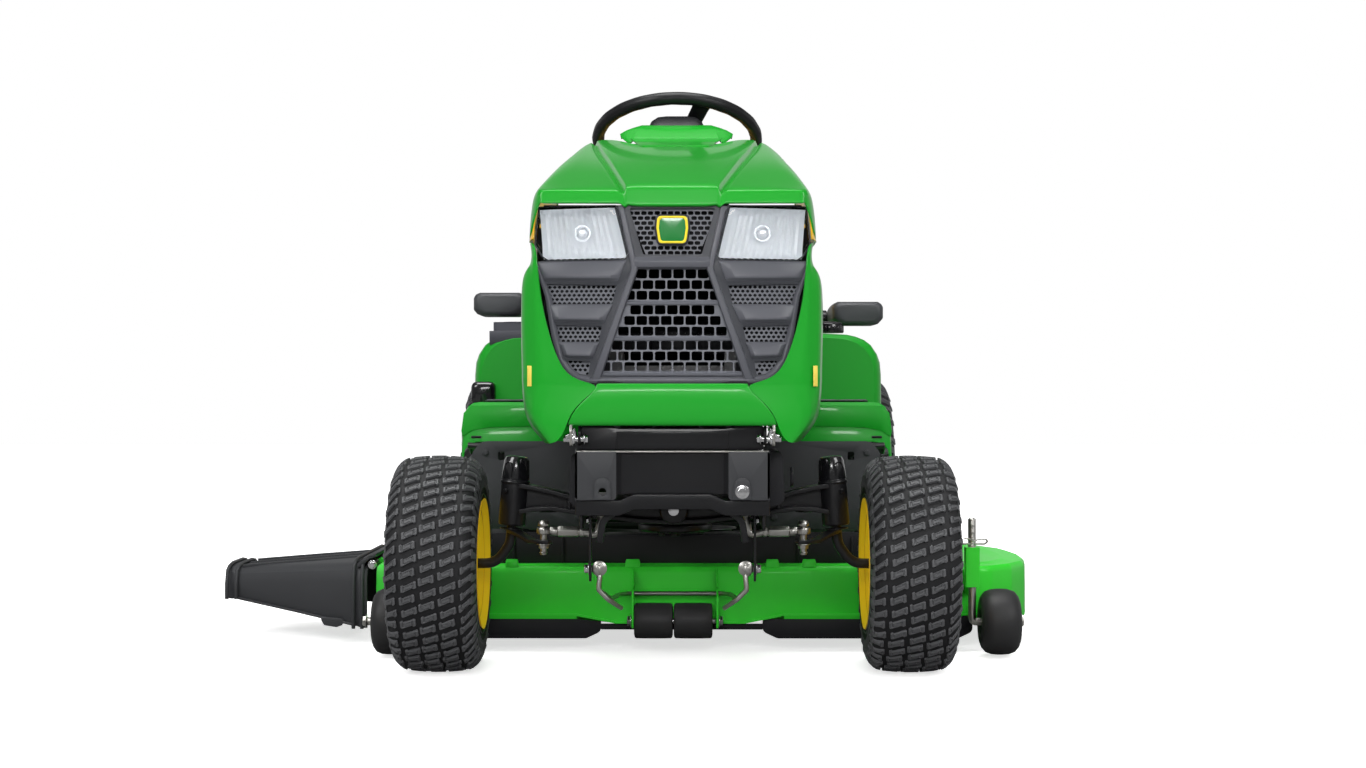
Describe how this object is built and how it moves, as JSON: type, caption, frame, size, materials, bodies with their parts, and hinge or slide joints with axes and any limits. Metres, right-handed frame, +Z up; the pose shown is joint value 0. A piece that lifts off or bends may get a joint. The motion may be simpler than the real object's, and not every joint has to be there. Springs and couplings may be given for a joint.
{
  "type": "riding lawn mower",
  "caption": "Garden tractor with a lifting side-discharge mower deck, tilting hood, steered front axle, seat with armrests and turf tyres.",
  "frame": {"origin": "middle of the footprint on the ground", "axes": "+Z up; +Y towards the rear of the machine; +X towards the driver's left, away from the discharge chute"},
  "size_m": [1.7158, 1.8934, 1.172],
  "materials": {
    "green_body": "smooth gloss",
    "green_plastic": "smooth gloss",
    "black_steel": "satin",
    "black_plastic": "grained",
    "dark_grey_plastic": "grained",
    "cast_axle": "rough cast, painted",
    "zinc_steel": "zinc plated",
    "bright_steel": "bright",
    "engine_metal": "die cast",
    "yellow_rim": "smooth gloss",
    "tyre_rubber": "moulded",
    "black_rubber": "moulded",
    "grey_mesh": "moulded",
    "lens": "clear, fluted",
    "lamp_reflector": "bright",
    "trim": "smooth",
    "seat_vinyl": "grained vinyl",
    "blade_steel": "dark"
  },
  "bodies": {
    "chassis": {"main_frame": "black_steel", "front_bumper": "black_steel", "front_carrier": "black_steel", "chassis_pins": "zinc_steel", "engine": "engine_metal", "muffler": "zinc_steel", "battery": "black_plastic", "transaxle": "engine_metal", "dash_tower": "black_plastic", "footboards": "black_plastic", "fender_body": "green_body"},
    "axle": {"front_axle": "cast_axle"},
    "spindle_left": {"spindle_left": "black_steel"},
    "spindle_right": {"spindle_right": "black_steel"},
    "front_wheel_left": {"front_tyre_left": "tyre_rubber", "front_rim_left": "yellow_rim"},
    "front_wheel_right": {"front_tyre_right": "tyre_rubber", "front_rim_right": "yellow_rim"},
    "rear_wheel_left": {"rear_tyre_left": "tyre_rubber", "rear_rim_left": "yellow_rim"},
    "rear_wheel_right": {"rear_tyre_right": "tyre_rubber", "rear_rim_right": "yellow_rim"},
    "tie_rod_left": {"tie_rod_left": "zinc_steel"},
    "tie_rod_right": {"tie_rod_right": "zinc_steel"},
    "relay_bar": {"steering_relay_bar": "zinc_steel"},
    "steering": {"steering_wheel": "black_plastic", "steering_shaft": "zinc_steel"},
    "crank": {"crankshaft_clutch": "black_steel"},
    "hood": {"hood_shell": "green_plastic", "hood_nose_panel": "green_plastic", "grille_frame": "dark_grey_plastic", "grille_screens": "grey_mesh", "hood_trim": "trim", "headlight_lenses": "lens", "headlight_lamps": "lamp_reflector"},
    "deck": {"deck_shell": "green_body", "deck_lower_trim": "black_plastic", "spindle_housings": "engine_metal", "blade_belt": "black_rubber", "belt_covers": "black_plastic", "deck_pins": "zinc_steel", "gauge_wheel_arms": "zinc_steel"},
    "blade_left": {"blade_left": "blade_steel"},
    "blade_centre": {"blade_centre": "blade_steel"},
    "blade_right": {"blade_right": "blade_steel"},
    "rollers": {"deck_rollers": "black_plastic"},
    "gauge_wheel_left": {"gauge_wheel_left": "black_plastic"},
    "gauge_wheel_right": {"gauge_wheel_right": "black_plastic"},
    "chute": {"discharge_chute": "dark_grey_plastic"},
    "lift_rod": {"front_lift_rod": "bright_steel"},
    "seat": {"seat_frame": "black_steel", "seat_cushion": "seat_vinyl", "seat_back": "seat_vinyl"},
    "armrest_left": {"armrest_pad_left": "dark_grey_plastic"},
    "armrest_right": {"armrest_pad_right": "dark_grey_plastic"},
    "lift_lever": {"lift_lever": "black_plastic"},
    "forward_pedal": {"forward_pedal": "black_rubber"},
    "reverse_pedal": {"reverse_pedal": "black_rubber"},
    "brake_pedal": {"brake_pedal": "black_rubber"},
    "blade_switch": {"blade_switch_knob": "trim"}
  },
  "joints": [
    {"name": "steering_turn", "type": "hinge", "parent": "chassis", "child": "steering", "pos_m": [0.1131, 0.1173, 1.086], "axis": [0, 0.4067, 0.9135], "range_deg": [-270, 270]},
    {"name": "axle_rock", "type": "hinge", "parent": "chassis", "child": "axle", "pos_m": [0.1131, -0.6477, 0.306], "axis": [0, 1, 0], "range_deg": [-6, 6]},
    {"name": "kingpin_turn_left", "type": "hinge", "parent": "axle", "child": "spindle_left", "pos_m": [0.4181, -0.6477, 0.27], "axis": [-0.0785, 0, 0.9969], "range_deg": [-31, 31]},
    {"name": "kingpin_turn_right", "type": "hinge", "parent": "axle", "child": "spindle_right", "pos_m": [-0.1919, -0.6477, 0.27], "axis": [0.0785, 0, 0.9969], "range_deg": [-31, 31]},
    {"name": "tie_rod_swing_left", "type": "hinge", "parent": "spindle_left", "child": "tie_rod_left", "pos_m": [0.3521, -0.7327, 0.269], "axis": [0, 0, 1], "range_deg": [-49, 49]},
    {"name": "tie_rod_swing_right", "type": "hinge", "parent": "spindle_right", "child": "tie_rod_right", "pos_m": [-0.1259, -0.7327, 0.269], "axis": [0, 0, 1], "range_deg": [-49, 49]},
    {"name": "relay_slide", "type": "slide", "parent": "chassis", "child": "relay_bar", "axis": [1, 0, 0], "range_m": [-0.041, 0.041]},
    {"name": "front_wheel_spin_left", "type": "hinge", "parent": "spindle_left", "child": "front_wheel_left", "pos_m": [0.5531, -0.6477, 0.203], "axis": [1, 0, 0], "continuous": true},
    {"name": "front_wheel_spin_right", "type": "hinge", "parent": "spindle_right", "child": "front_wheel_right", "pos_m": [-0.3269, -0.6477, 0.203], "axis": [1, 0, 0], "continuous": true},
    {"name": "rear_wheel_spin_left", "type": "hinge", "parent": "chassis", "child": "rear_wheel_left", "pos_m": [0.5091, 0.6223, 0.2795], "axis": [1, 0, 0], "continuous": true},
    {"name": "rear_wheel_spin_right", "type": "hinge", "parent": "chassis", "child": "rear_wheel_right", "pos_m": [-0.2829, 0.6223, 0.2795], "axis": [1, 0, 0], "continuous": true},
    {"name": "crank_spin", "type": "hinge", "parent": "chassis", "child": "crank", "pos_m": [0.1131, -0.4177, 0.35], "axis": [0, 0, 1], "continuous": true},
    {"name": "hood_open", "type": "hinge", "parent": "chassis", "child": "hood", "pos_m": [0.1131, -0.9307, 0.444], "axis": [1, 0, 0], "range_deg": [0, 62]},
    {"name": "deck_lift", "type": "slide", "parent": "chassis", "child": "deck", "axis": [0, 0, 1], "range_m": [0, 0.06]},
    {"name": "lift_rod_swing", "type": "hinge", "parent": "chassis", "child": "lift_rod", "pos_m": [0.1131, -0.8927, 0.214], "axis": [1, 0, 0], "range_deg": [0, 7]},
    {"name": "lift_lever_pull", "type": "hinge", "parent": "chassis", "child": "lift_lever", "pos_m": [-0.3329, 0.3923, 0.5], "axis": [-1, 0, 0], "range_deg": [0, 31]},
    {"name": "blade_spin_centre", "type": "hinge", "parent": "deck", "child": "blade_centre", "pos_m": [0.1791, -0.1147, 0.1], "axis": [0, 0, 1], "continuous": true},
    {"name": "blade_spin_left", "type": "hinge", "parent": "deck", "child": "blade_left", "pos_m": [0.6101, 0.0673, 0.1], "axis": [0, 0, 1], "continuous": true},
    {"name": "blade_spin_right", "type": "hinge", "parent": "deck", "child": "blade_right", "pos_m": [-0.2519, 0.0673, 0.1], "axis": [0, 0, 1], "continuous": true},
    {"name": "rollers_spin", "type": "hinge", "parent": "deck", "child": "rollers", "pos_m": [0.1131, -0.4017, 0.068], "axis": [1, 0, 0], "continuous": true},
    {"name": "gauge_wheel_spin_left", "type": "hinge", "parent": "deck", "child": "gauge_wheel_left", "pos_m": [0.7551, -0.4337, 0.07], "axis": [1, 0, 0], "continuous": true},
    {"name": "gauge_wheel_spin_right", "type": "hinge", "parent": "deck", "child": "gauge_wheel_right", "pos_m": [-0.4579, -0.4337, 0.07], "axis": [1, 0, 0], "continuous": true},
    {"name": "chute_lift", "type": "hinge", "parent": "deck", "child": "chute", "pos_m": [-0.5149, -0.0077, 0.166], "axis": [0, 1, 0], "range_deg": [0, 75]},
    {"name": "seat_tilt", "type": "hinge", "parent": "chassis", "child": "seat", "pos_m": [0.1131, 0.3523, 0.655], "axis": [1, 0, 0], "range_deg": [0, 50]},
    {"name": "armrest_fold_left", "type": "hinge", "parent": "seat", "child": "armrest_left", "pos_m": [0.5431, 0.7023, 0.704], "axis": [-1, 0, 0], "range_deg": [0, 80]},
    {"name": "armrest_fold_right", "type": "hinge", "parent": "seat", "child": "armrest_right", "pos_m": [-0.3169, 0.7023, 0.726], "axis": [-1, 0, 0], "range_deg": [0, 80]},
    {"name": "forward_pedal_press", "type": "hinge", "parent": "chassis", "child": "forward_pedal", "pos_m": [-0.0869, 0.0573, 0.5], "axis": [1, 0, 0], "range_deg": [0, 10], "stiffness_Nm_per_rad": 6},
    {"name": "reverse_pedal_press", "type": "hinge", "parent": "chassis", "child": "reverse_pedal", "pos_m": [-0.0869, 0.1523, 0.48], "axis": [1, 0, 0], "range_deg": [0, 10], "stiffness_Nm_per_rad": 6},
    {"name": "brake_pedal_press", "type": "hinge", "parent": "chassis", "child": "brake_pedal", "pos_m": [0.3131, 0.0523, 0.506], "axis": [1, 0, 0], "range_deg": [0, 10], "stiffness_Nm_per_rad": 8},
    {"name": "blade_switch_pull", "type": "slide", "parent": "chassis", "child": "blade_switch", "axis": [0, 0.3714, 0.9285], "range_m": [0, 0.012]}
  ],
  "couplings": [
    {"joint": "kingpin_turn_left", "follows": "steering_turn", "ratio": 0.111},
    {"joint": "kingpin_turn_right", "follows": "steering_turn", "ratio": 0.111},
    {"joint": "tie_rod_swing_left", "follows": "steering_turn", "ratio": -0.1754},
    {"joint": "tie_rod_swing_right", "follows": "steering_turn", "ratio": -0.1754},
    {"joint": "relay_slide", "follows": "steering_turn", "m_per_rad": 0.00828},
    {"joint": "lift_rod_swing", "follows": "deck_lift", "rad_per_m": 1.99},
    {"joint": "lift_lever_pull", "follows": "deck_lift", "rad_per_m": 8.7},
    {"joint": "blade_spin_left", "follows": "blade_spin_centre", "ratio": 1},
    {"joint": "blade_spin_right", "follows": "blade_spin_centre", "ratio": 1}
  ]
}
